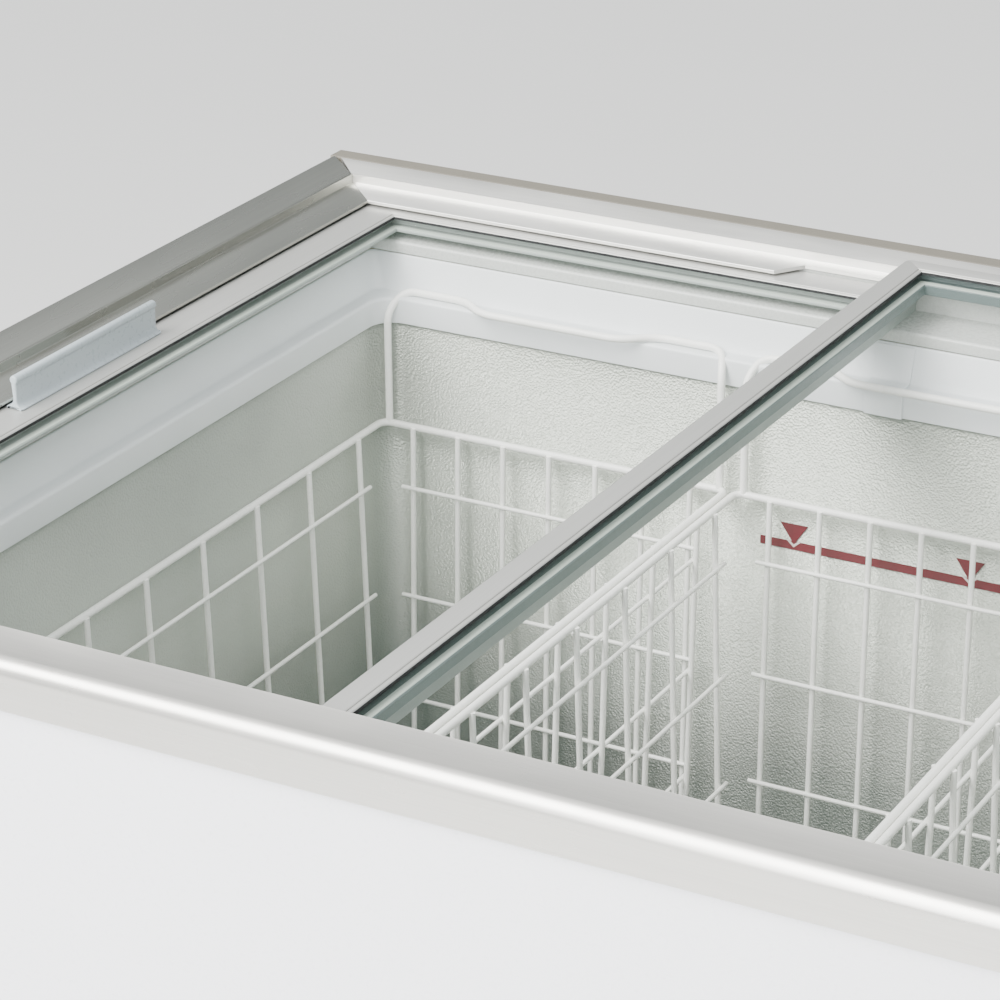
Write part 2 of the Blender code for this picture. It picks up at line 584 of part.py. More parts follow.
def make_fan():
    wall = 0.0015
    x0, x1 = ROOM_X + 0.006, HALF_X - 0.010
    low, high = BODY_BOTTOM + SHEET + GAP, ROOM_TOP - 0.006
    shroud = box("fan_shroud", "black_plastic", (x0, FAN_Y - 0.012, low), (x1, FAN_Y - 0.012 + wall, high))
    hub = (MACHINE_X, FAN_Y, FAN_Z)
    cut(shroud, cylinder("shroud_hole_cutter", None, (MACHINE_X, FAN_Y - 0.012, FAN_Z), 0.082, 0.02, "Y", 40))
    for side, x in (("left", x0), ("right", x1 - wall)):
        arm = box(f"shroud_{side}_arm_cutter", None, (x, FAN_Y - 0.064, FAN_Z - 0.09),
                  (x + wall, FAN_Y - 0.011, FAN_Z + 0.09))
        cut(shroud, arm, operation="UNION")
    blade = cylinder("fan_blade", "black_plastic", hub, 0.020, 0.018, "Y", 20, origin=hub)
    for n in range(5):
        turn = Matrix.Translation(hub) @ Matrix.Rotation(math.radians(72 * n), 4, "Y")
        pitch = Matrix.Rotation(math.radians(28), 4, "X")
        vane = box(f"fan_vane_{n + 1}_cutter", None, (0.010, -0.0007, -0.021), (0.076, 0.0007, 0.021))
        vane.data.transform(turn @ pitch)
        cut(blade, vane, operation="UNION")
    motor = cylinder("fan_motor", "galvanised", (MACHINE_X, FAN_Y + 0.0355, FAN_Z), 0.030, 0.048, "Y", 24)
    foot = box("motor_foot_cutter", None, (MACHINE_X - 0.020, FAN_Y + 0.022, low),
               (MACHINE_X + 0.020, FAN_Y + 0.049, FAN_Z - 0.02))
    cut(motor, foot, operation="UNION")


def make_condenser():
    """One layer of tube, folded up and down across the air stream in front of the fan."""
    x0, x1, y = ROOM_X + 0.030, HALF_X - 0.030, FAN_Y - 0.060
    low, high, rows = 0.050, 0.235, 9
    step = (high - low) / (rows - 1)
    path = []
    for n in range(rows):
        ends = (x0, x1) if n % 2 == 0 else (x1, x0)
        z = low + n * step
        path += [(ends[0], y, z), (ends[1], y, z)]
        if n < rows - 1:
            outward = 1 if ends[1] > ends[0] else -1
            bend = arc((0, 0), step / 2, -90, 90, 6)[1:-1]
            path += [(ends[1] + outward * dx * 0.8, y, z + step / 2 + dz) for dx, dz in bend]
    tube("condenser", "black_paint", path, 0.003)


def make_pipes(base):
    """Filter drier and the lines that leave the compressor. Inside the foam the lines aren't modelled."""
    wall_x = ROOM_X + 0.014
    drier = [(0.0, 0.045), (0.004, 0.044), (0.004, 0.038), (0.009, 0.030), (0.009, -0.030), (0.004, -0.038),
             (0.004, -0.044), (0.0, -0.045)]
    turned("filter_drier", "copper", drier, (wall_x, COMPRESSOR_Y - 0.060, 0.120), steps=16)
    top = ROOM_TOP - 0.0005
    x, y = MACHINE_X - 0.0785, COMPRESSOR_Y + 0.030
    suction = [(x, y, base + 0.075), (x - 0.005, y, base + 0.077), (x - 0.008, y, base + 0.083),
               (x - 0.009, y, base + 0.100), (x - 0.009, y, top)]
    tube("suction_line", "copper", suction, 0.004)
    x, y = MACHINE_X + 0.030, COMPRESSOR_Y - 0.0765
    discharge = [(x, y, base + 0.060), (x, y - 0.006, base + 0.062), (x, y - 0.009, base + 0.068),
                 (x, y - 0.009, base + 0.120), (x, y - 0.009, top)]
    tube("discharge_line", "copper", discharge, 0.0025)


def louvre(name, look, low, high, slots, depth_axis_span):
    """A flat grille with slots across it. Its plane is X and Z, and it is thick along Y."""
    (x0, z0), (x1, z1) = low, high
    y0, y1 = depth_axis_span
    grille = box(name, look, (x0, y0, z0), (x1, y1, z1))
    pitch = (z1 - z0 - 0.016) / slots
    for n in range(slots):
        z = z0 + 0.008 + (n + 0.5) * pitch
        slot = box(f"{name}_slot_{n + 1}_cutter", None, (x0 + 0.012, y0 - 0.01, z - pitch * 0.27),
                   (x1 - 0.012, y1 + 0.01, z + pitch * 0.27))
        cut(grille, slot)
    return grille


def make_rear_services():
    (x0, z0), (x1, z1) = REAR_OPENING
    y = DEPTH / 2 - SHEET_INSET - SHEET - GAP
    grille = louvre("rear_grille", "galvanised", (x0 - 0.004, z0 - 0.006), (x1 + 0.004, z1 + 0.006), 12,
                    (y - SHEET, y))
    gland_x, gland_z = x0 + 0.020, z0 + 0.016
    cut(grille, box("gland_land_cutter", None, (x0 + 0.004, y - SHEET, z0 - 0.005),
                    (x0 + 0.038, y, z0 + 0.032)), operation="UNION")
    cut(grille, cylinder("gland_hole_cutter", None, (gland_x, y, gland_z), 0.0065, 0.02, "Y", 20))
    body = cylinder("power_inlet", "black_plastic", (gland_x, y - 0.004, gland_z), 0.0061, 0.0126, "Y", 20)
    seat = (gland_x, y + GAP + 0.0017, gland_z)
    flange = cylinder("inlet_flange_cutter", None, seat, 0.011, 0.0034, "Y", 20)
    cut(body, flange, operation="UNION")
    mouth = (gland_x, y + GAP + 0.0034, gland_z)
    cut(body, cylinder("cable_mouth_cutter", None, mouth, 0.0035, 0.005, "Y", 12))


def make_front_controls():
    (x0, z0), (x1, z1) = FRONT_OPENING
    face = FRONT_Y + 0.0006
    split = z1 - 0.044
    margin = GAP * 2
    louvre("front_grille", "white_plastic", (x0 + margin, z0 + margin), (x1 - margin, split - GAP), 10,
           (face, face + 0.003))
    bezel = box("control_bezel", "white_plastic", (x0 + margin, face, split),
                (x1 - margin, face + 0.016, z1 - margin))
    z = (split + z1) / 2
    knob_x, display_x = x0 + 0.040, x1 - 0.050
    dish = cylinder("knob_dish_cutter", None, (knob_x, face, z), 0.0165, 0.024, "Y", 28)
    window = box("display_window_cutter", None, (display_x - 0.020, face - 0.01, z - 0.010),
                 (display_x + 0.020, face + 0.006, z + 0.010))
    cut(bezel, dish, window)
    knob = (knob_x, face + 0.0063, z)
    dial = cylinder("thermostat_knob", "black_plastic", knob, 0.0130, 0.0108, "Y", 24, origin=knob)
    pointer = box("pointer_cutter", None, (knob_x - 0.0012, face + 0.0002, z),
                  (knob_x + 0.0012, face + 0.0012, z + 0.0120))
    cut(dial, pointer, operation="UNION")
    box("thermometer", "black_plastic", (display_x - 0.0195, face + 0.0012, z - 0.0095),
        (display_x + 0.0195, face + 0.0057, z + 0.0095), bevel=0.0006)


def make_drain():
    top = FLOOR - LINER_SHEET - GAP
    tube_profile = [(0.012, top), (0.012, BODY_BOTTOM - 0.006), (0.0095, BODY_BOTTOM - 0.006), (0.0095, top),
                    (0.012, top)]
    turned("drain_tube", "white_plastic", tube_profile, (*DRAIN, 0), steps=20)
    plug = [(0.0, 0.006), (0.003, 0.0058), (0.004, 0.0035), (0.015, 0.003), (0.0155, 0.0018), (0.0155, GAP),
            (0.0092, GAP), (0.0088, -0.012), (0.0, -0.012)]
    turned("drain_plug", "rubber", plug, (*DRAIN, FLOOR), steps=20)


def make_feet():
    profile = [(0.0, BODY_BOTTOM - GAP), (0.008, BODY_BOTTOM - GAP), (0.008, 0.010), (0.017, 0.008),
               (0.020, 0.006), (0.020, 0.001), (0.019, 0.0), (0.0, 0.0)]
    for name, x, y in (("foot_front_left", -1, -1), ("foot_front_right", 1, -1),
                       ("foot_rear_left", -1, 1), ("foot_rear_right", 1, 1)):
        turned(name, "black_plastic", profile, (x * (HALF_X - 0.055), y * (DEPTH / 2 - 0.055), 0), steps=20)


# ---------------------------------------------------------------- build

clear_scene()
PARTS = new_collection("chest_freezer")
CUTTERS = new_collection("cutters")

make_cabinet()
make_liner()
make_evaporator()
make_rim()
make_tracks()
make_collar()
make_load_line()
make_lid("left_lid", LEFT_LID, LEFT_HANDLE_X)
make_lid("right_lid", RIGHT_LID, RIGHT_HANDLE_X)
for basket_name, left, right in BASKETS:
    make_basket(basket_name, left, right)
make_pipes(make_compressor())
make_fan()
make_condenser()
make_rear_services()
make_front_controls()
make_drain()
make_feet()
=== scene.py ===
"""Looks of a small retail chest freezer with two sliding glass lids and hanging wire baskets.

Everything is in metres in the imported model's frame: +Z up, +X right along the front, +Y to the rear.
Profiles of the rim, tracks, collar and lids are (distance in from the rim's outer face, height below
the rim's top) in millimetres, because that is how such extrusions are drawn.
"""
import math

import bmesh
import bpy
from mathutils import Matrix, Vector


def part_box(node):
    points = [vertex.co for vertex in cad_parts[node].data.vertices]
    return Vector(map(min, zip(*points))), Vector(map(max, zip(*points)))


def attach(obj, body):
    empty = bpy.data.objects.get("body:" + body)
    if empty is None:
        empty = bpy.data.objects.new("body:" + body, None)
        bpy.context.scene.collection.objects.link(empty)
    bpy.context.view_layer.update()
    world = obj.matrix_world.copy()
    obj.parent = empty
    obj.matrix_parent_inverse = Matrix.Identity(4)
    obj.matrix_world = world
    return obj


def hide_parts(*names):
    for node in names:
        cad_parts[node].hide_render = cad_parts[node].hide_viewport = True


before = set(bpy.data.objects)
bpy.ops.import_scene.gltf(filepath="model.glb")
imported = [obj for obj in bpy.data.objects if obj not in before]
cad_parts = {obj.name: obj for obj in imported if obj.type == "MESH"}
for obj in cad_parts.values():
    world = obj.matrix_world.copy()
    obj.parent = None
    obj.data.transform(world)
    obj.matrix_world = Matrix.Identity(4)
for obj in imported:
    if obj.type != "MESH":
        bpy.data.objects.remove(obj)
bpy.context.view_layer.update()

MM = 0.001

# ---------------------------------------------------------------- places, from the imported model

FRONT_RIM_LOW, FRONT_RIM_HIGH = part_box("rim_front")
HALF_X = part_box("rim_rear_strip")[1].x
REAR_RIM_LOW, REAR_RIM_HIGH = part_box("rim_rear")
RIM_TOP = REAR_RIM_HIGH.z
FRONT_Y = FRONT_RIM_LOW.y
FRONT_RISE = FRONT_RIM_HIGH.z - RIM_TOP
SKIRT = RIM_TOP - REAR_RIM_LOW.z
RIM_REAR = 0.0042           # how far the rear rim's outer line lies behind REAR_Y
REAR_CUT = 0.008            # how much of the rear rim the strip along it takes
REAR_Y = REAR_RIM_HIGH.y + REAR_CUT - RIM_REAR
LINER_LOW, LINER_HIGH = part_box("inner_liner")
LINER_SHEET = 0.001
WALL = LINER_LOW.x + HALF_X + LINER_SHEET
FLOOR = LINER_LOW.z + LINER_SHEET
ROOM_LOW, ROOM_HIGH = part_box("compartment_bulkhead")
JOINT_LOW, JOINT_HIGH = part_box("collar_joint_rear")
JOINT_X = (JOINT_LOW.x + JOINT_HIGH.x) / 2
GAP = 0.0003
SEAM = 0.0001               # taken off each end of a mitred bar, so that its neighbour is clear of it


# ---------------------------------------------------------------- camera, light and floor

def make_camera():
    """A long lens above the front right corner, looking down to the left."""
    yaw, pitch, roll = math.radians(29.077), math.radians(23.476), math.radians(0.468)
    forward = Vector((-math.sin(yaw) * math.cos(pitch), math.cos(yaw) * math.cos(pitch), -math.sin(pitch)))
    level = Vector((math.cos(yaw), math.sin(yaw), 0))
    down = forward.cross(level)
    right = math.cos(roll) * level + math.sin(roll) * down
    up = math.sin(roll) * level - math.cos(roll) * down
    data = bpy.data.cameras.new("camera")
    data.lens = 127.68
    data.sensor_width = 36
    place = Vector((0.677, -1.3863, RIM_TOP + 0.650))
    camera = bpy.data.objects.new("camera", data)
    camera.matrix_world = Matrix((
        (right.x, up.x, -forward.x, place.x),
        (right.y, up.y, -forward.y, place.y),
        (right.z, up.z, -forward.z, place.z),
        (0, 0, 0, 1)))
    bpy.context.scene.collection.objects.link(camera)
    bpy.context.scene.camera = camera


def area_light(name, place, target, size, power, colour=(1, 1, 1)):
    data = bpy.data.lights.new(name, "AREA")
    data.shape = "RECTANGLE"
    data.size, data.size_y = size
    data.energy = power
    data.color = colour
    light = bpy.data.objects.new(name, data)
    light.location = place
    light.rotation_euler = (Vector(target) - Vector(place)).to_track_quat("-Z", "Y").to_euler()
    bpy.context.scene.collection.objects.link(light)


def make_studio():
    """A bright ceiling that falls off towards the horizon, with two soft boxes."""
    world = bpy.data.worlds.new("studio")
    bpy.context.scene.world = world
    world.use_nodes = True
    tree = world.node_tree
    tilt = tree.nodes.new("ShaderNodeVectorMath")
    tilt.operation = "DOT_PRODUCT"
    tilt.inputs[1].default_value = (-0.10, -0.52, 0.85)
    tree.links.new(tree.nodes.new("ShaderNodeTexCoord").outputs["Generated"], tilt.inputs[0])
    grey = ramp(tree, spread(tree, tilt.outputs["Value"], 0, 1, -0.55, 1.0), [
        (0.0, (0.14, 0.15, 0.15, 1)), (0.33, (0.18, 0.195, 0.195, 1)), (0.56, (0.84, 0.86, 0.88, 1)),
        (1.0, (1.0, 1.0, 1.0, 1))])
    background = tree.nodes["Background"]
    tree.links.new(grey, background.inputs["Color"])
    background.inputs["Strength"].default_value = 1.75
    area_light("key", (-1.2, -1.8, 3.2), (0, 0, 0.7), (2.4, 2.2), 260, (1.0, 0.995, 0.98))
    area_light("front_fill", (0.1, -3.0, 1.7), (0, 0, 0.6), (2.4, 1.6), 100)
    bm = bmesh.new()
    bmesh.ops.create_grid(bm, x_segments=1, y_segments=1, size=20)
    floor = new_object("studio_floor", bm, floor_material())


# ---------------------------------------------------------------- node material helpers

def shader_tree(name):
    material = bpy.data.materials.new(name)
    material.use_nodes = True
    tree = material.node_tree
    return material, tree, tree.nodes["Principled BSDF"]


def set_inputs(node, **values):
    for key, value in values.items():
        node.inputs[key.replace("_", " ")].default_value = value


def rgb(r, g, b):
    """Display values of 0 to 255 as a linear colour."""
    def linear(c):
        c /= 255
        return c / 12.92 if c <= 0.04045 else ((c + 0.055) / 1.055) ** 2.4
    return (linear(r), linear(g), linear(b), 1)


def coordinates(tree, scale=(1, 1, 1), uv=None):
    """A mapping node fed by object coordinates or by a named UV map."""
    if uv:
        source = tree.nodes.new("ShaderNodeUVMap")
        source.uv_map = uv
        output = source.outputs["UV"]
    else:
        output = tree.nodes.new("ShaderNodeTexCoord").outputs["Object"]
    mapping = tree.nodes.new("ShaderNodeMapping")
    mapping.inputs["Scale"].default_value = scale
    tree.links.new(output, mapping.inputs["Vector"])
    return mapping.outputs["Vector"]


def noise(tree, vector, scale, detail=3.0, roughness=0.5):
    node = tree.nodes.new("ShaderNodeTexNoise")
    set_inputs(node, Scale=scale, Detail=detail, Roughness=roughness)
    tree.links.new(vector, node.inputs["Vector"])
    return node.outputs["Fac"]


def spread(tree, value, low, high, start=0.3, end=0.7):
    """A value between start and end moved to the range low to high."""
    node = tree.nodes.new("ShaderNodeMapRange")
    node.inputs["From Min"].default_value = start
    node.inputs["From Max"].default_value = end
    node.inputs["To Min"].default_value = low
    node.inputs["To Max"].default_value = high
    tree.links.new(value, node.inputs["Value"])
    return node.outputs["Result"]


def ramp(tree, value, stops):
    node = tree.nodes.new("ShaderNodeValToRGB")
    elements = node.color_ramp.elements
    while len(elements) < len(stops):
        elements.new(0.5)
    for element, (place, colour) in zip(elements, stops):
        element.position = place
        element.color = colour
    tree.links.new(value, node.inputs["Fac"])
    return node.outputs["Color"]


def bump(tree, shader, height, strength, distance):
    node = tree.nodes.new("ShaderNodeBump")
    node.inputs["Strength"].default_value = strength
    node.inputs["Distance"].default_value = distance
    tree.links.new(height, node.inputs["Height"])
    tree.links.new(node.outputs["Normal"], shader.inputs["Normal"])


def tinted(name, colour, roughness, variation=0.05, scale=30.0, grain=400.0, relief=0.15,
           relief_depth=0.0001, metallic=0.0):
    """A painted or moulded surface: slow colour change, fine grain in its gloss and its height."""
    material, tree, shader = shader_tree(name)
    place = coordinates(tree)
    slow = noise(tree, place, scale)
    fine = noise(tree, place, grain, detail=2.0)
    dark = tuple(c * (1 - variation) for c in colour[:3]) + (1,)
    light = tuple(min(1, c * (1 + variation)) for c in colour[:3]) + (1,)
    tree.links.new(ramp(tree, slow, [(0.3, dark), (0.7, light)]), shader.inputs["Base Color"])
    tree.links.new(spread(tree, fine, roughness * 0.85, roughness * 1.15), shader.inputs["Roughness"])
    shader.inputs["Metallic"].default_value = metallic
    bump(tree, shader, fine, relief, relief_depth)
    return material


def brushed(name, colour, roughness, anisotropic=0.6, streak=0.10, metallic=1.0):
    """Metal with fine lines along the first axis of the UV map named along."""
    material, tree, shader = shader_tree(name)
    lines = noise(tree, coordinates(tree, uv="along", scale=(2.5, 900, 1)), 1.0, detail=4.0, roughness=0.7)
    cloud = noise(tree, coordinates(tree, uv="along", scale=(9, 30, 1)), 1.0, detail=3.0)
    dark = tuple(c * (1 - streak) for c in colour[:3]) + (1,)
    tree.links.new(ramp(tree, lines, [(0.25, dark), (0.7, colour)]), shader.inputs["Base Color"])
    tree.links.new(spread(tree, cloud, roughness * 0.85, roughness * 1.2), shader.inputs["Roughness"])
    set_inputs(shader, Metallic=metallic, Anisotropic=anisotropic, Anisotropic_Rotation=0.25)
    tangent = tree.nodes.new("ShaderNodeTangent")
    tangent.direction_type = "UV_MAP"
    tangent.uv_map = "along"
    tree.links.new(tangent.outputs["Tangent"], shader.inputs["Tangent"])
    bump(tree, shader, lines, 0.08, 0.00005)
    return material


def stucco(name, colour, roughness):
    """Embossed aluminium sheet: small rounded pebbles pressed into bright metal. Its colour darkens towards
    the bottom of the tub, as painted shade.
    """
    material, tree, shader = shader_tree(name)
    place = coordinates(tree)
    cells = tree.nodes.new("ShaderNodeTexVoronoi")
    cells.feature = "SMOOTH_F1"
    set_inputs(cells, Scale=760.0, Smoothness=0.5, Randomness=1.0)
    drift = noise(tree, place, 60.0, detail=2.0)
    bent = tree.nodes.new("ShaderNodeVectorMath")
    bent.operation = "MULTIPLY_ADD"
    spun = tree.nodes.new("ShaderNodeCombineXYZ")
    for axis in ("X", "Y", "Z"):
        tree.links.new(drift, spun.inputs[axis])
    bent.inputs[1].default_value = (0.002, 0.002, 0.002)
    tree.links.new(spun.outputs["Vector"], bent.inputs[0])
    tree.links.new(place, bent.inputs[2])
    tree.links.new(bent.outputs["Vector"], cells.inputs["Vector"])
    slow = noise(tree, place, 7.0, detail=3.0)
    height = tree.nodes.new("ShaderNodeSeparateXYZ")
    tree.links.new(place, height.inputs[0])
    # Painted shade: the colour darkens from 0.12 m down to 0.24 m below the liner's top.
    level = spread(tree, height.outputs["Z"], 0.0, 0.62, LINER_HIGH.z - 0.24, LINER_HIGH.z - 0.12)
    tone_and_depth_shade = tree.nodes.new("ShaderNodeMath")
    tone_and_depth_shade.operation = "MULTIPLY_ADD"
    tone_and_depth_shade.inputs[1].default_value = 0.5
    tree.links.new(slow, tone_and_depth_shade.inputs[0])
    tree.links.new(level, tone_and_depth_shade.inputs[2])
    # This dark stop is the painted shade's colour deep in the tub.
    dark = tuple(c * 0.24 for c in colour[:3]) + (1,)
    tree.links.new(ramp(tree, tone_and_depth_shade.outputs["Value"], [(0.22, dark), (0.95, colour)]),
                   shader.inputs["Base Color"])
    tree.links.new(spread(tree, cells.outputs["Distance"], roughness * 0.8, roughness * 1.25, 0.1, 0.6),
                   shader.inputs["Roughness"])
    shader.inputs["Metallic"].default_value = 0.4
    bump(tree, shader, cells.outputs["Distance"], 0.6, 0.0005)
    return material


def glass_material(name):
    """A clear pane with a faint green cast. Alpha lets the light through to the baskets."""
    material, tree, shader = shader_tree(name)
    place = coordinates(tree)
    smears = noise(tree, place, 9.0, detail=5.0, roughness=0.65)
    tree.links.new(spread(tree, smears, 0.03, 0.10), shader.inputs["Roughness"])
    tree.links.new(spread(tree, smears, 0.02, 0.04), shader.inputs["Alpha"])
    set_inputs(shader, Base_Color=rgb(140, 166, 152), IOR=1.52, Specular_IOR_Level=0.2)
    return material


def floor_material():
    return tinted("studio_floor_paint", rgb(236, 236, 234), 0.6, variation=0.01, scale=2.0, relief=0.0)


# ---------------------------------------------------------------- mesh helpers

def new_object(name, bm, material, smooth=30.0):
    mesh = bpy.data.meshes.new(name)
    bm.to_mesh(mesh)
    bm.free()
    mesh.shade_smooth()
    mesh.set_sharp_from_angle(angle=math.radians(smooth))
    if material:
        mesh.materials.append(material)
    obj = bpy.data.objects.new(name, mesh)
    bpy.context.scene.collection.objects.link(obj)
    return obj


def piece(obj, body, slot, *replaced):
    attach(obj, body)
    if replaced:
        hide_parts(*replaced)
    return obj


def arc(centre, radius, start, end, steps=6):
    angles = [math.radians(start + (end - start) * n / steps) for n in range(steps + 1)]
    return [(centre[0] + radius * math.cos(a), centre[1] + radius * math.sin(a)) for a in angles]


def fillet(points, radius, steps=3):
    """A closed outline with each corner rounded, by less where its sides are short."""
    points = [Vector(p) for p in points]
    rounded = []
    for n, point in enumerate(points):
        before, after = points[n - 1] - point, points[(n + 1) % len(points)] - point
        half = before.angle(after, 0) / 2
        wanted = radius / math.tan(half) if half > 0.01 else 0
        reach = min(wanted, 0.45 * before.length, 0.45 * after.length)
        if half > math.radians(84) or reach < 1e-6:
            rounded.append(point)
            continue
        start, end = point + before.normalized() * reach, point + after.normalized() * reach
        for k in range(steps + 1):
            t = k / steps
            rounded.append((1 - t) ** 2 * start + 2 * t * (1 - t) * point + t ** 2 * end)
    return [(p.x, p.y) for p in rounded]


def below_rim(profile):
    return [(inset * MM, RIM_TOP + height * MM) for inset, height in profile]


def loft(sections):
    """A closed mesh through sections of equal point counts. Its UV map runs along them, in metres."""
    bm = bmesh.new()
    layer = bm.loops.layers.uv.new("along")
    loops = [[bm.verts.new(point) for point in section] for section in sections]
    count = len(sections[0])
    across = [0.0]
    for n in range(count):
        across.append(across[-1] + (Vector(sections[0][n]) - Vector(sections[0][(n + 1) % count])).length)
    travelled = [0.0]
    for here, there in zip(sections, sections[1:]):
        step = sum(((Vector(b) - Vector(a)).length for a, b in zip(here, there)), 0.0) / count
        travelled.append(travelled[-1] + step)
    for s, (here, there) in enumerate(zip(loops, loops[1:])):
        for n in range(count):
            after = (n + 1) % count
            face = bm.faces.new((here[n], here[after], there[after], there[n]))
            corners = ((s, n), (s, n + 1), (s + 1, n + 1), (s + 1, n))
            for loop, (row, column) in zip(face.loops, corners):
                loop[layer].uv = (travelled[row], across[column])
    bm.faces.new(loops[0])
    bm.faces.new(loops[-1])
    bmesh.ops.recalc_face_normals(bm, faces=bm.faces)
    return bm


def mitred_bar(side, rectangle, profile, corner=0.0):
    """One side of a frame with ends cut at 45 degrees and, if asked, a rounded outer corner."""
    x0, x1, y0, y1 = rectangle
    start, along, inward, length = {
        "front": ((x0, y0), (1, 0), (0, 1), x1 - x0),
        "right": ((x1, y0), (0, 1), (-1, 0), y1 - y0),
        "rear": ((x1, y1), (-1, 0), (0, -1), x1 - x0),
        "left": ((x0, y1), (0, -1), (1, 0), y1 - y0)}[side]
    start, along, inward = Vector(start), Vector(along), Vector(inward)
    steps = 6 if corner else 0
    angles = [math.radians(45 * (1 - n / steps)) for n in range(steps + 1)] if steps else [math.radians(45)]

    def station(angle, from_end):
        points = []
        for inset, height in profile:
            back = inset
            if inset < corner:
                back = corner - (corner - inset) * math.sin(angle)
                inset = corner - (corner - inset) * math.cos(angle)
            elif corner:
                back += (1 - angle / math.radians(45)) * corner
            back += SEAM
            place = start + inward * inset + along * (length - back if from_end else back)
            points.append((place.x, place.y, height))
        return points

    return loft([station(a, False) for a in angles] + [station(a, True) for a in reversed(angles)])


def ring_box(inset=0.0):
    return (-HALF_X + inset, HALF_X - inset, FRONT_Y + inset, REAR_Y - inset)


def box_bm(low, high, bevel=0.0):
    low, high = Vector(low), Vector(high)
    bm = bmesh.new()
    bmesh.ops.create_cube(bm, size=1)
    bmesh.ops.scale(bm, vec=high - low, verts=bm.verts)
    bmesh.ops.translate(bm, vec=(low + high) / 2, verts=bm.verts)
    if bevel:
        bmesh.ops.bevel(bm, geom=list(bm.edges), offset=bevel, segments=2, profile=0.5, affect="EDGES")
    return bm


def prism_bm(outline, axis, start, end, bevel=0.0):
    """A flat outline pushed along an axis, with the rims of its two ends rounded if asked."""
    place = {"X": lambda a, b, c: (c, a, b), "Y": lambda a, b, c: (a, c, b), "Z": lambda a, b, c: (a, b, c)}
    bm = bmesh.new()
    face = bm.faces.new([bm.verts.new(place[axis](a, b, start)) for a, b in outline])
    ends = list(face.edges)
    pushed = bmesh.ops.extrude_face_region(bm, geom=[face])["geom"]
    tops = [v for v in pushed if isinstance(v, bmesh.types.BMVert)]
    ends += [e for e in pushed if isinstance(e, bmesh.types.BMEdge)]
    bmesh.ops.translate(bm, vec=place[axis](0, 0, end - start), verts=tops)
    bmesh.ops.recalc_face_normals(bm, faces=bm.faces)
    if bevel:
        bmesh.ops.bevel(bm, geom=ends, offset=bevel, segments=3, profile=0.5, affect="EDGES")
    return bm


def turned_bm(profile, centre, steps=24):
    """A line of (radius, height) pairs turned about an upright axis."""
    bm = bmesh.new()
    verts = [bm.verts.new((radius, 0, height)) for radius, height in profile]
    edges = [bm.edges.new(pair) for pair in zip(verts, verts[1:])]
    bmesh.ops.spin(bm, geom=verts + edges, cent=(0, 0, 0), axis=(0, 0, 1), angle=math.tau, steps=steps)
    bmesh.ops.remove_doubles(bm, verts=bm.verts, dist=1e-6)
    bmesh.ops.translate(bm, vec=centre, verts=bm.verts)
    bmesh.ops.recalc_face_normals(bm, faces=bm.faces)
    return bm


def wires(name, paths, radius, material, cyclic=False, sides=5):
    """Round wires as one curve object, one spline for each path."""
    curve = bpy.data.curves.new(name, "CURVE")
    curve.dimensions = "3D"
    curve.bevel_depth = radius
    curve.bevel_resolution = sides
    curve.use_fill_caps = not cyclic
    for path in paths:
        spline = curve.splines.new("POLY")
        spline.points.add(len(path) - 1)
        spline.use_cyclic_u = cyclic
        spline.use_smooth = True
        for target, point in zip(spline.points, path):
            target.co = (*point, 1)
    curve.materials.append(material)
    obj = bpy.data.objects.new(name, curve)
    bpy.context.scene.collection.objects.link(obj)
    return obj


def rounded_path(points, radius, steps=6):
    """A polyline with its inner corners rounded."""
    points = [Vector(p) for p in points]
    path = [points[0]]
    for before, point, after in zip(points, points[1:], points[2:]):
        back, ahead = before - point, after - point
        reach = min(radius, 0.48 * back.length, 0.48 * ahead.length)
        start, end = point + back.normalized() * reach, point + ahead.normalized() * reach
        for k in range(steps + 1):
            t = k / steps
            path.append((1 - t) ** 2 * start + 2 * t * (1 - t) * point + t ** 2 * end)
    return path + [points[-1]]


# ---------------------------------------------------------------- rim and tracks

RIM_WALL = 28.0             # the side and rear rims' upright inner wall, in from the outer face
FRONT_POST, FRONT_LIP = 16, 29.5
LEDGE = 52.7


def rim_profile(edge=0.0, radius=4.0):
    outside = arc((edge + radius, -radius), radius, 180, 90, 8)
    inside = arc((edge + 7.5, -7.5), 5, 90, 180, 4)
    ledge = fillet([(RIM_WALL, 0), (RIM_WALL, -6.6), (LEDGE, -6.6), (LEDGE, -8.6), (RIM_WALL - 2.5, -8.6)],
                   0.5)[:-1]
    skirt = -SKIRT / MM
    return below_rim([(edge + 0.6, skirt), (edge, skirt + 0.6), *outside, *ledge, (RIM_WALL - 2.5, -2.5),
                      *inside, (edge + 2.5, skirt)])


def make_front_rim(metal):
    """One straight bar over the whole length, with a channel for the front edge of the upper lid."""
    skirt, rise = -SKIRT / MM, FRONT_RISE / MM
    outside = arc((7, rise - 7), 7, 180, 90, 12)
    lip = fillet([(FRONT_LIP, rise), (FRONT_LIP, -6.6), (LEDGE, -6.6), (LEDGE, -8.6), (2.5, -8.6)],
                 0.5)[:-1]
    profile = below_rim([(0.6, skirt), (0, skirt + 0.6), *outside, *lip, (2.5, -8.6), (2.5, skirt)])
    sections = [[(x, FRONT_Y + inset, height) for inset, height in profile] for x in (-HALF_X, HALF_X)]
    bar = new_object("rim_front_extrusion", loft(sections), metal)
    channel = HALF_X - RIM_WALL * MM
    cutters = [box_bm((-channel, FRONT_Y + FRONT_POST * MM, RIM_TOP - 0.0066),
                      (channel, FRONT_Y + FRONT_LIP * MM + 0.001, RIM_TOP + FRONT_RISE - 0.0018))]
    for side in (-1, 1):
        near, far = sorted((side * (HALF_X - LEDGE * MM - 0.0004), side * (HALF_X + 0.001)))
        cutters.append(box_bm((near, FRONT_Y + FRONT_LIP * MM, RIM_TOP - 0.010),
                              (far, FRONT_Y + 0.060, RIM_TOP - 0.005)))
    return cut(bar, *[new_object("front_rim_cutter", bm, None) for bm in cutters])


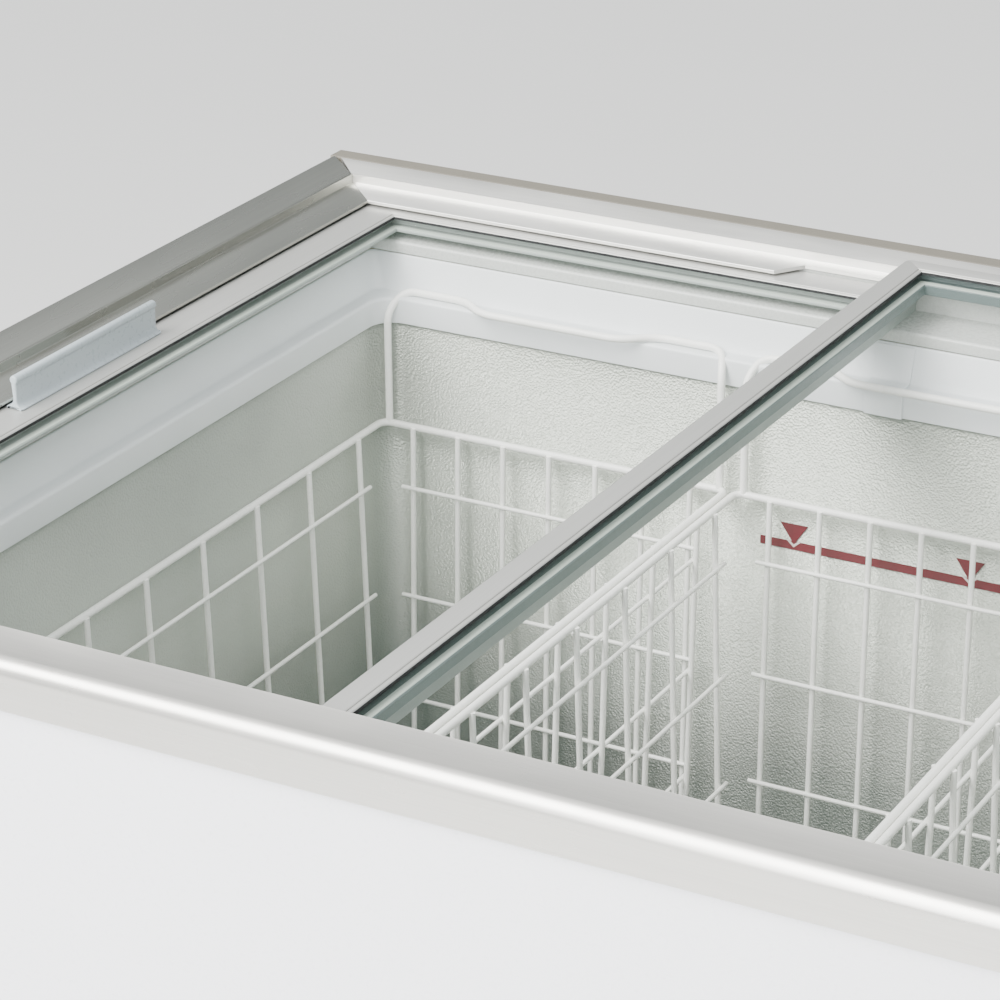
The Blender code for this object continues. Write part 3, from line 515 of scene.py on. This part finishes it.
def make_rim(metal, front_metal_painted_shade, side_metal_painted_shade):
    start = FRONT_Y + FRONT_LIP * MM + GAP
    strip_y = REAR_Y + RIM_REAR - REAR_CUT
    for side, sign in (("left", -1), ("right", 1)):
        profile = rim_profile()
        sections = [[(sign * (HALF_X - inset), start, height) for inset, height in profile],
                    [(sign * (HALF_X - inset), min(strip_y, REAR_Y + RIM_REAR - inset) - 0.0001, height)
                     for inset, height in profile]]
        # The side rims' darker copy of the aluminium is painted shade.
        bar = new_object(f"rim_{side}_extrusion", loft(sections), side_metal_painted_shade)
        piece(bar, "cabinet", "satin_aluminium", f"rim_{side}")
    rectangle = (-HALF_X, HALF_X, FRONT_Y, REAR_Y + RIM_REAR)
    rear_bar = mitred_bar("rear", rectangle, rim_profile(REAR_CUT / MM, 1.0))
    rear = new_object("rim_rear_extrusion", rear_bar, metal)
    # The front rim's darker copy of the aluminium is painted shade.
    for side, bar in (("front", make_front_rim(front_metal_painted_shade)), ("rear", rear)):
        cut_notch(bar, side)
        piece(bar, "cabinet", "satin_aluminium", f"rim_{side}")


def cut_notch(bar, side):
    """The upper ledge is cut away at the middle, where the lids pass each other."""
    edge, depth = (FRONT_Y + 0.0365, 0.020) if side == "front" else (REAR_Y - 0.0323, -0.020)
    narrow, wide = 0.066, 0.080
    outline = [(-narrow, edge), (narrow, edge), (wide, edge + depth), (-wide, edge + depth)]
    cut(bar, new_object(f"{side}_notch", prism_bm(outline, "Z", RIM_TOP - 0.0095, RIM_TOP - 0.004), None))


def cut(obj, *cutters):
    """Each cutter taken away from the object for good, and the cutters removed."""
    for cutter in cutters:
        boolean = obj.modifiers.new("boolean", "BOOLEAN")
        boolean.operation = "DIFFERENCE"
        boolean.object = cutter
        bpy.context.view_layer.update()
        evaluated = obj.evaluated_get(bpy.context.evaluated_depsgraph_get())
        result = bpy.data.meshes.new_from_object(evaluated)
        obj.modifiers.clear()
        old, obj.data = obj.data, result
        bpy.data.meshes.remove(old)
        bpy.data.objects.remove(cutter, do_unlink=True)
    obj.data.shade_smooth()
    obj.data.set_sharp_from_angle(angle=math.radians(30))
    return obj


def make_tracks(material, dark):
    wall = fillet([(29.2, -24.5), (29.2, -9.2), (31.2, -9.2), (31.2, -22), (62.4, -22)], 0.4)[:-4]
    nose = arc((62.2, -23.8), 1.8, 90, 0, 6) + [(64, -28.6), (63.6, -29), (62.2, -29), (62.2, -24.5)]
    profile = below_rim(wall + nose)
    for side in ("front", "rear", "left", "right"):
        track = new_object(f"track_{side}_moulding", mitred_bar(side, ring_box(), profile), material)
        piece(track, "cabinet", "track_plastic", f"track_{side}")
    head = [(0.0, 0.0001), (0.0016, 0.0001), (0.0021, 0.0004), (0.0024, 0.0001), (0.0024, -0.0002)]
    from_end, from_edge, drop = 0.0680, 0.0565, 0.022
    for n, (x, y) in enumerate(((-1, 1), (1, 1), (-1, -1), (1, -1)), 1):
        edge_y = REAR_Y - from_edge if y > 0 else FRONT_Y + from_edge
        centre = (x * (HALF_X - from_end), edge_y, RIM_TOP - drop)
        # A black screw head; its black also stands in for the shade in the screw hole, as painted shade.
        screw = new_object(f"track_screw_{n}", turned_bm(head, centre), dark)
        piece(screw, "cabinet", "black_plastic")


# ---------------------------------------------------------------- collar, liner and load line

def half_ring(inset, radius, side, steps=12):
    """Points from the joint round the two corners of one half of the ring, and back to the joint."""
    y0, y1 = FRONT_Y + inset, REAR_Y - inset
    x = side * (HALF_X - inset - radius)
    joint = JOINT_X + side * GAP / 2
    front, rear = (180, 90) if side < 0 else (0, 90)
    turn = 90 if side < 0 else -90
    rear_arc = arc((x, y1 - radius), radius, rear, rear + turn, steps)
    front_arc = arc((x, y0 + radius), radius, front, front + turn, steps)
    return [(joint, y1), *rear_arc, *front_arc, (joint, y0)]


def collar_outline():
    """The collar's closed outline as (inset, height, corner radius), its bends rounded."""
    face = [(64.6, -29.4), (69, -45), (71, -49.5), (80, -49.5), (80, -65)]
    back = [(78.9, -65), (78.9, -51.6), (69.8, -51.3), (67, -45.5), (62.6, -29.4)]
    outline = fillet(face + back, 2.2, 5)
    stations = [(62, 3.5), (64.6, 4), (69, 7), (71, 8), (78.6, 13), (80, 14.5)]

    def corner(inset):
        for (a, ra), (b, rb) in zip(stations, stations[1:]):
            if inset <= b:
                return ra + (rb - ra) * (inset - a) / (b - a)
        return stations[-1][1]

    return [(i * MM, RIM_TOP + z * MM, corner(i) * MM) for i, z in outline]


def make_collar(plastic):
    outline = collar_outline()
    for name, side in (("collar_left", -1), ("collar_right", 1)):
        paths = [half_ring(inset, radius, side) for inset, height, radius in outline]
        sections = [[(*path[n], outline[k][1]) for k, path in enumerate(paths)]
                    for n in range(len(paths[0]))]
        piece(new_object(f"{name}_moulding", loft(sections), plastic, 40), "cabinet", "white_plastic", name)
    face = [(64.9, -30), (69.4, -45), (71.4, -49.2), (80.3, -49.2), (80.3, -65.3)]
    back = [(81.5, -65.3), (81.5, -48), (72.2, -48), (70.6, -44.7), (66, -30)]
    outline = below_rim(fillet(face + back, 1.6, 4))
    for name, edge, inward in (("collar_joint_front", FRONT_Y, 1), ("collar_joint_rear", REAR_Y, -1)):
        section = [(edge + inward * inset, height) for inset, height in outline]
        strip = prism_bm(section, "X", JOINT_LOW.x, JOINT_HIGH.x, bevel=0.0003)
        piece(new_object(f"{name}_cover", strip, plastic), "cabinet", "white_plastic", name)


LINER_CORNER = 0.016
FOAM_BESIDE, FOAM_ABOVE = 0.0682, 0.0662        # between the machine compartment and the liner


def make_liner(metal):
    """The embossed tub: a block with a raised floor at its right end, opened at the top. It has no hole
    at the drain, so the plug goes through its floor."""
    x0, x1, y0, y1 = ring_box(WALL)
    top, riser = LINER_HIGH.z, ROOM_LOW.x - FOAM_BESIDE
    step = ROOM_HIGH.z + FOAM_ABOVE
    outline = [(x0, top), (x0, FLOOR), (riser, FLOOR), (riser, step), (x1, step), (x1, top)]
    bm = prism_bm(outline, "Y", y0, y1)
    upright = [e for e in bm.edges if abs(e.verts[0].co.z - e.verts[1].co.z) > 1e-4
               and abs(e.verts[0].co.x - riser) > 1e-4]
    bmesh.ops.bevel(bm, geom=upright, offset=LINER_CORNER, segments=12, profile=0.5, affect="EDGES")
    lid = [f for f in bm.faces if f.normal.z > 0.9 and f.calc_center_median().z > top - 1e-4]
    bmesh.ops.delete(bm, geom=lid, context="FACES_ONLY")
    liner = new_object("inner_liner_sheet", bm, metal, 40)
    shell = liner.modifiers.new("sheet", "SOLIDIFY")
    shell.thickness = 0.0009
    shell.offset = 1
    shell.use_even_offset = True
    piece(liner, "cabinet", "liner_aluminium", "inner_liner")


def make_load_line(red, pale):
    """A band on the rear wall that marks how high goods may be stacked, with arrowheads above it."""
    low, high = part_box("load_line_tape")
    back, front = high.y, low.y
    top = low.z + 0.005
    first, pitch, half = low.x + 0.0203, 0.1036, 0.0083
    outline = [(low.x, low.z), (high.x, low.z), (high.x, top)]
    tips = [first + n * pitch for n in range(4)]
    for tip in reversed(tips):
        outline += [(tip + 0.0012, top), (tip + half, high.z), (tip - half, high.z), (tip - 0.0012, top)]
    outline.append((low.x, top))
    piece(new_object("load_line_band", prism_bm(outline, "Y", back, front), red), "cabinet", "red_tape",
          "load_line_tape")
    for n, tip in enumerate(tips, 1):
        chevron = [(tip, top - 0.0035), (tip + 0.0042, top + 0.0002), (tip + 0.0034, top + 0.0010),
                   (tip, top - 0.0018), (tip - 0.0034, top + 0.0010), (tip - 0.0042, top + 0.0002)]
        mark = prism_bm(chevron, "Y", front, front - 0.00008)
        piece(new_object(f"load_line_tip_{n}", mark, pale), "cabinet", "red_tape")


# ---------------------------------------------------------------- lids

LIP = 0.0035                # how far a lid's lower flange reaches in past its upper lip
RECESS = 0.012              # the deep part of a lid's bar reaches this far in from its outer face


def lid_cap_profile(width, high):
    """Section of the light cap of a lid's frame bar: flat top, short outer face, bevelled inner edge."""
    lip = width - LIP
    base = high - 0.0030
    outside = fillet([(lip - 0.006, base), (0, base), (0, high), (lip - 0.003, high)], 0.0008, 4)[1:-1]
    bevel = [(lip - 0.0011, high), (lip - 0.0002, high - 0.0008), (lip, high - 0.0013),
             (lip - 0.005, high - 0.0013)]
    return outside + bevel + [(lip - 0.005, base)]


def lid_core_profile(width, low, high, depth):
    """Section of the core under the pane: a flange that the pane lies on, and the body below it."""
    base = high - 0.0058
    flange = [(width - LIP - 0.005, base), (width - 0.0004, base), (width, base - 0.0004),
              (width, base - depth + 0.0004), (width - 0.0004, base - depth)]
    body = [(RECESS, base - depth), (RECESS, low), (0.0007, low), (0.0002, low + 0.0006),
            (0.0002, high - 0.0032), (width - LIP - 0.0052, high - 0.0032)]
    return flange + (body if base - depth > low + 0.0001 else body[2:])


def handle_outline(outer):
    """A thin blade with a round bead along its top and a foot that flares to both sides, more so to
    the lid's outer side."""
    inner = [(4.4, 0.3), (4.3, 0.8), *arc((5.0, 4.6), 3.8, 262, 184, 8)]
    bead = arc((-0.3, 15.6), 2.35, -50, 228, 18)
    flare = arc((-6.0, 5.9), 4.8, 4, -84, 10)
    outline = inner + bead + flare + [(-5.6, 0.8), (-5.7, 0.3)]
    return [(x * -outer * MM, z * MM) for x, z in outline]


def make_handle(name, body, outer, plastic):
    low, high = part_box(name)
    x, base = (low.x + high.x) / 2, low.z - GAP
    outline = [(x + dx, base + dz) for dx, dz in handle_outline(outer)]
    bm = prism_bm(outline, "Y", low.y, high.y, bevel=0.0010)
    piece(new_object(f"{name}_grip", bm, plastic, 35), body, "handle_plastic", name)


def make_lid(name, outer, depth, cap, core, glass, gasket, tape, plastic):
    low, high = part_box(f"{name}_front_bar")
    rear_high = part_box(f"{name}_rear_bar")[1]
    width = high.y - low.y
    rectangle = (low.x, high.x, low.y, rear_high.y)
    caps, cores = lid_cap_profile(width, high.z), lid_core_profile(width, low.z, high.z, depth)
    for side in ("front", "right", "rear", "left"):
        bar = new_object(f"{name}_{side}_cap", mitred_bar(side, rectangle, caps, corner=0.0035), cap, 25)
        piece(bar, name, "lid_frame", f"{name}_{side}_bar")
        body = new_object(f"{name}_{side}_core", mitred_bar(side, rectangle, cores), core, 25)
        piece(body, name, "grey_plastic")
    pane_low, pane_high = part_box(f"{name}_glass")
    pane = new_object(f"{name}_pane", box_bm(pane_low, pane_high, bevel=0.0004), glass)
    piece(pane, name, "glass", f"{name}_glass")
    lip = width - LIP
    # A rubber seal bead; its black also stands in for the shaded gap at the cap's lip, as painted shade.
    seal_and_gap_shade = flat_ring(rectangle, lip - 0.0006, lip + 0.0002, pane_high.z + 0.00002, pane_high.z + 0.0012)
    piece(new_object(f"{name}_seal", seal_and_gap_shade, gasket), name, "rubber")
    # The bed's light colour is partly a painted highlight along the pane's edge.
    bed = flat_ring(rectangle, lip - 0.0010, width - 0.0006, pane_low.z - 0.00026, pane_low.z - 0.00004)
    piece(new_object(f"{name}_pane_bed", bed, tape), name, "rubber")
    make_handle(f"{name}_handle", name, outer, plastic)


def flat_ring(rectangle, outer, inner, base, crest):
    """A closed band round a rectangle, between two insets and two heights, its inner edge sloped."""
    x0, x1, y0, y1 = rectangle
    bm = bmesh.new()

    def loop(inset, height):
        corners = ((x0 + inset, y0 + inset), (x1 - inset, y0 + inset),
                   (x1 - inset, y1 - inset), (x0 + inset, y1 - inset))
        return [bm.verts.new((x, y, height)) for x, y in corners]

    sloped = inner - (crest - base) / 3
    rings = [loop(outer, base), loop(inner, base), loop(sloped, crest), loop(outer, crest)]
    for here, there in zip(rings, rings[1:] + rings[:1]):
        for n in range(4):
            bm.faces.new((here[n - 1], here[n], there[n], there[n - 1]))
    bmesh.ops.recalc_face_normals(bm, faces=bm.faces)
    return bm


# ---------------------------------------------------------------- baskets

RIM_WIRE = 0.00215          # the three wires' radii
HOOP_WIRE = 0.0016
ROW_WIRE = 0.00125
TAPER = 0.008               # how far in from the rim wire each wall stands at the bottom
BASKET_DEPTH = 0.212
REACH = 0.014               # from the front and rear of a basket's box, where its hangers end, to its rim
# Each row's drop below the rim wire, on the front and rear walls and on the left and right walls.
ROW_DROPS = ((0.036, 0.031), (0.104, 0.099), (0.170, 0.166))


def evenly(low, high, first, pitch):
    """Places from low to high, starting first in from each end, as near the pitch as fits."""
    count = round((high - low - 2 * first) / pitch)
    return [low + first + n * (high - low - 2 * first) / count for n in range(count + 1)]


def make_basket(name, coated):
    low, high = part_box(name)
    x0, x1 = low.x + RIM_WIRE, high.x - RIM_WIRE
    y0, y1 = low.y + REACH, high.y - REACH
    bottom = low.z + RIM_WIRE + HOOP_WIRE
    hang_z = high.z - RIM_WIRE
    rim_z = bottom + BASKET_DEPTH - RIM_WIRE - HOOP_WIRE
    corner = 0.006
    rim = []
    for centre, start in (((x1 - corner, y1 - corner), 0), ((x0 + corner, y1 - corner), 90),
                          ((x0 + corner, y0 + corner), 180), ((x1 - corner, y0 + corner), 270)):
        rim += [(x, y, rim_z) for x, y in arc(centre, corner, start, start + 90)]
    piece(wires(f"{name}_rim_wire", [rim], RIM_WIRE, coated, cyclic=True), name, "coated_wire", name)
    inside = RIM_WIRE * 0.6 + HOOP_WIRE * 0.6
    hoops = []
    sides = evenly(y0, y1, 0.0315, 0.053)
    ends = evenly(x0, x1, 0.0215, 0.032)
    for y in sides:
        hoops.append(rounded_path([(x0 + inside, y, rim_z), (x0 + TAPER, y, bottom),
                                   (x1 - TAPER, y, bottom), (x1 - inside, y, rim_z)], 0.008))
    lower = bottom - HOOP_WIRE * 1.9
    for x in ends:
        hoops.append(rounded_path([(x, y0 + inside, rim_z), (x, y0 + TAPER, lower),
                                   (x, y1 - TAPER, lower), (x, y1 - inside, rim_z)], 0.008))
    piece(wires(f"{name}_hoops", hoops, HOOP_WIRE, coated, sides=4), name, "coated_wire")
    rows = []
    stub = 0.006
    for drop, side_drop in ROW_DROPS:
        lean = inside + (TAPER - inside) * drop / (rim_z - bottom) + HOOP_WIRE + ROW_WIRE * 0.8
        for y in (y0 + lean, y1 - lean):
            rows.append([(ends[0] - stub, y, rim_z - drop), (ends[-1] + stub, y, rim_z - drop)])
        for x in (x0 + lean, x1 - lean):
            rows.append([(x, sides[0] - stub, rim_z - side_drop), (x, sides[-1] + stub, rim_z - side_drop)])
    piece(wires(f"{name}_rows", rows, ROW_WIRE, coated, sides=3), name, "coated_wire")
    piece(wires(f"{name}_hangers", hangers(x0, x1, y0, y1, rim_z, hang_z), RIM_WIRE, coated), name,
          "coated_wire")


def hangers(x0, x1, y0, y1, rim_z, hang_z):
    """Front and rear hangers: up from the rim's corners, out onto the collar's ledge, along it, and
    in again at the middle for a hand grip. Each leaves its upright too low, so its slant goes through
    the ledge's inner edge and the liner's top edge."""
    paths = []
    width = x1 - x0
    ear = min(0.050, width * 0.25)
    jog = 0.016
    for y, outward in ((y0, -1), (y1, 1)):
        ledge_y, grip_y = y + outward * 0.0115, y - outward * 0.002
        foot = 0.0045
        paths.append(rounded_path([
            (x0 + foot, y, rim_z), (x0 + foot, y, hang_z - 0.010), (x0 + foot + 0.005, ledge_y, hang_z),
            (x0 + ear, ledge_y, hang_z), (x0 + ear + jog, grip_y, hang_z),
            (x1 - ear - jog, grip_y, hang_z), (x1 - ear, ledge_y, hang_z),
            (x1 - foot - 0.005, ledge_y, hang_z), (x1 - foot, y, hang_z - 0.010), (x1 - foot, y, rim_z)],
            0.009, 8))
    return paths


# ---------------------------------------------------------------- cabinet

def make_cabinet(paint):
    low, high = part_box("cabinet_wrap")
    sheet, bend = 0.0008, 0.003
    outer = ([(low.x, high.y)] + arc((low.x + bend, low.y + bend), bend, 180, 270)
             + arc((high.x - bend, low.y + bend), bend, 270, 360) + [(high.x, high.y)])
    x0, x1, y0 = low.x + sheet, high.x - sheet, low.y + sheet
    small = bend - sheet
    inner = ([(x1, high.y)] + arc((x1 - small, y0 + small), small, 360, 270)
             + arc((x0 + small, y0 + small), small, 270, 180) + [(x0, high.y)])
    wrap = new_object("cabinet_sheet", prism_bm(outer + inner, "Z", low.z, high.z), paint)
    grille_low, grille_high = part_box("front_grille")
    bezel_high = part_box("control_bezel")[1]
    margin = 2 * GAP
    opening = box_bm((grille_low.x - margin, low.y - 0.01, grille_low.z - margin),
                     (grille_high.x + margin, low.y + 0.01, bezel_high.z + margin))
    cut(wrap, new_object("front_opening", opening, None))
    piece(wrap, "cabinet", "white_paint", "cabinet_wrap")


def paint_nodes(*materials_and_nodes):
    """Give CAD nodes that keep their shape a finished material."""
    for material, names in materials_and_nodes:
        for name in names:
            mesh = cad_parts[name].data
            mesh.materials.clear()
            mesh.materials.append(material)


# ---------------------------------------------------------------- build

# The rim is one anodised aluminium in three copies: the rear rim's copy is the lit one, the front rim's
# darker copy is painted shade on its front face, and the side rims' darkest copy is painted shade on their
# inner walls.
metal = brushed("satin_anodised_aluminium", rgb(242, 241, 236), 0.32, anisotropic=0.7, metallic=0.8)
front_metal_painted_shade = brushed("satin_anodised_aluminium_front_painted_shade", rgb(216, 214, 208), 0.28, anisotropic=0.7,
                      metallic=0.92)
side_metal_painted_shade = brushed("satin_anodised_aluminium_side_painted_shade", rgb(198, 198, 190), 0.26, anisotropic=0.7,
                     streak=0.14, metallic=0.95)
track = tinted("track_moulding", rgb(196, 199, 194), 0.28, grain=500.0, relief=0.05)
white = tinted("white_moulding", rgb(226, 230, 231), 0.35, variation=0.02, relief=0.08)
liner = stucco("stucco_aluminium", rgb(172, 176, 166), 0.36)
lid_metal = brushed("lid_frame_aluminium", rgb(197, 197, 193), 0.36, anisotropic=0.6, streak=0.12,
                    metallic=0.5)
# The lid cores are one grey plastic in two copies: the left lid's lighter copy, and the right lid's darker
# slate copy, which is painted shade under the right lid's pane.
mist = tinted("lid_core_grey", rgb(152, 160, 155), 0.42, variation=0.04, relief=0.06)
# A bedding tape under the pane's edge; its light grey-green is also a painted highlight along the pane's
# edge.
tape = tinted("pane_tape_and_edge_highlight", rgb(186, 196, 186), 0.55, variation=0.04, relief=0.06)
painted_shade_core = tinted("lid_core_painted_shade", rgb(92, 104, 103), 0.40, variation=0.04, relief=0.06)
handle = tinted("handle_moulding", rgb(168, 178, 182), 0.30, variation=0.02, relief=0.05)
glass = glass_material("lid_glass")
coated = tinted("coated_wire_white", rgb(250, 250, 245), 0.30, variation=0.03, scale=60.0, relief=0.1)
red = tinted("load_line_red", rgb(104, 12, 32), 0.45, variation=0.08, scale=120.0)
pale = tinted("load_line_pale", rgb(214, 205, 200), 0.45)
paint = tinted("white_enamel", rgb(245, 246, 250), 0.30, variation=0.01, scale=4.0, grain=260.0,
               relief=0.06)
zinc = tinted("galvanised_steel", rgb(168, 172, 175), 0.42, variation=0.12, scale=45.0, metallic=1.0)
grey = tinted("strip_grey", rgb(112, 108, 98), 0.5)
black = tinted("black_moulding", rgb(30, 31, 33), 0.5)
rubber = tinted("dark_rubber", rgb(26, 28, 28), 0.8)
copper = tinted("copper_tube", rgb(196, 120, 84), 0.35, variation=0.15, scale=25.0, metallic=1.0)
enamel_black = tinted("black_enamel", rgb(24, 24, 26), 0.4)
foam = tinted("urethane_foam", rgb(226, 212, 158), 0.9, variation=0.1, scale=90.0, grain=700.0, relief=0.6,
              relief_depth=0.0008)

make_camera()
make_studio()
make_rim(metal, front_metal_painted_shade, side_metal_painted_shade)
make_tracks(track, black)
make_collar(white)
make_liner(liner)
make_load_line(red, pale)
make_lid("left_lid", -1, 0.0018, lid_metal, mist, glass, rubber, tape, handle)
# The right lid's darker core is painted shade.
make_lid("right_lid", 1, 0.0057, lid_metal, painted_shade_core, glass, rubber, tape, handle)
for basket_name in ("basket_1", "basket_2", "basket_3"):
    make_basket(basket_name, coated)
make_cabinet(paint)
paint_nodes(
    (paint, ("rear_panel",)),
    (zinc, ("bottom_panel", "compartment_bulkhead", "compressor_tray", "fan_motor", "rear_grille")),
    (grey, ("rim_rear_strip",)),
    (white, ("front_grille", "control_bezel", "drain_tube")),
    (black, ("fan_blade", "fan_shroud", "thermostat_knob", "thermometer", "power_inlet", "foot_front_left",
             "foot_front_right", "foot_rear_left", "foot_rear_right")),
    (rubber, ("compressor_mount_front", "compressor_mount_rear", "drain_plug")),
    (copper, ("evaporator_coil", "filter_drier", "suction_line", "discharge_line")),
    (enamel_black, ("compressor", "condenser")),
    (foam, ("insulation_foam",)))
